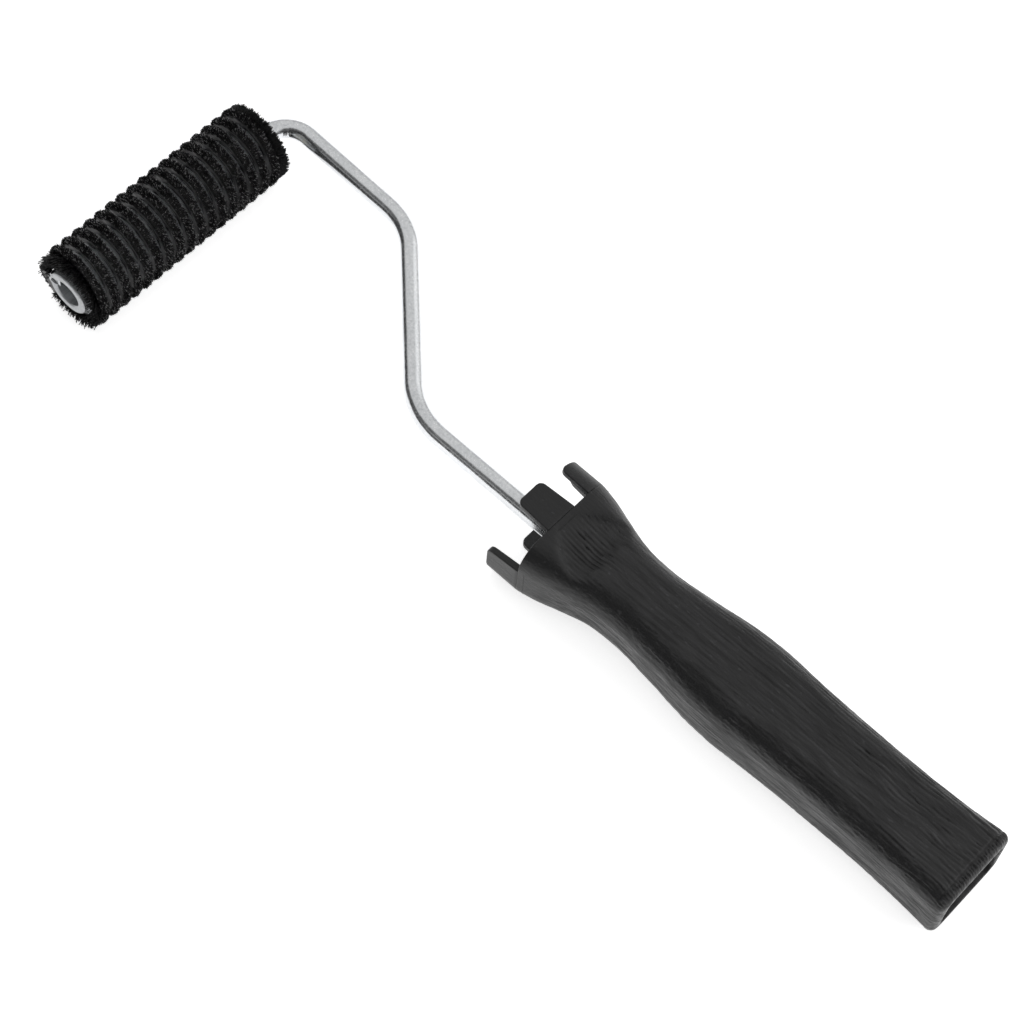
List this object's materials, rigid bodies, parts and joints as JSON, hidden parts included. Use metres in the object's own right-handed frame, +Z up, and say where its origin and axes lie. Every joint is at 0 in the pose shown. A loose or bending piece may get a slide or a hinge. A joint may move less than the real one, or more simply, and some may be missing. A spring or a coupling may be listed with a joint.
{
  "type": "bristle roller",
  "caption": "Spiral wound bristle roller that turns on a bent wire frame, with a hollow moulded handle ending in a pronged collar.",
  "frame": {"origin": "bottom centre of the whole tool's box, on the surface it lies on", "axes": "+X along the handle from the roller to the butt, +Y along the roller from its free end to the wire's bend, +Z up"},
  "size_m": [0.3047, 0.0888, 0.0254],
  "materials": {
    "zinc_wire": "bright zinc plate, drawn steel wire",
    "zinc_steel": "zinc plated spring steel",
    "strip_steel": "galvanised strip",
    "handle_plastic": "black polypropylene with a moulded wood grain",
    "ferrule_plastic": "black nylon",
    "core_aluminium": "mill finish tube",
    "bush_nylon": "natural nylon",
    "bristle_nylon": "black nylon filament, trimmed"
  },
  "bodies": {
    "frame": {"frame_wire": "zinc_wire", "wire_ferrule": "ferrule_plastic", "handle_shell": "handle_plastic", "thrust_washer_free_end": "zinc_steel", "thrust_washer_bend_end": "zinc_steel", "push_nut": "zinc_steel"},
    "roller": {"core_tube": "core_aluminium", "bush_free_end": "bush_nylon", "bush_bend_end": "bush_nylon", "strip_channel": "strip_steel", "strip_core_wire": "strip_steel", "strip_start_hook": "strip_steel", "bristle_ribbon": "bristle_nylon"}
  },
  "joints": [
    {"name": "roller_spin", "type": "hinge", "parent": "frame", "child": "roller", "pos_m": [-0.13965, -0.0041, 0.0127], "axis": [0, 1, 0], "continuous": true}
  ]
}
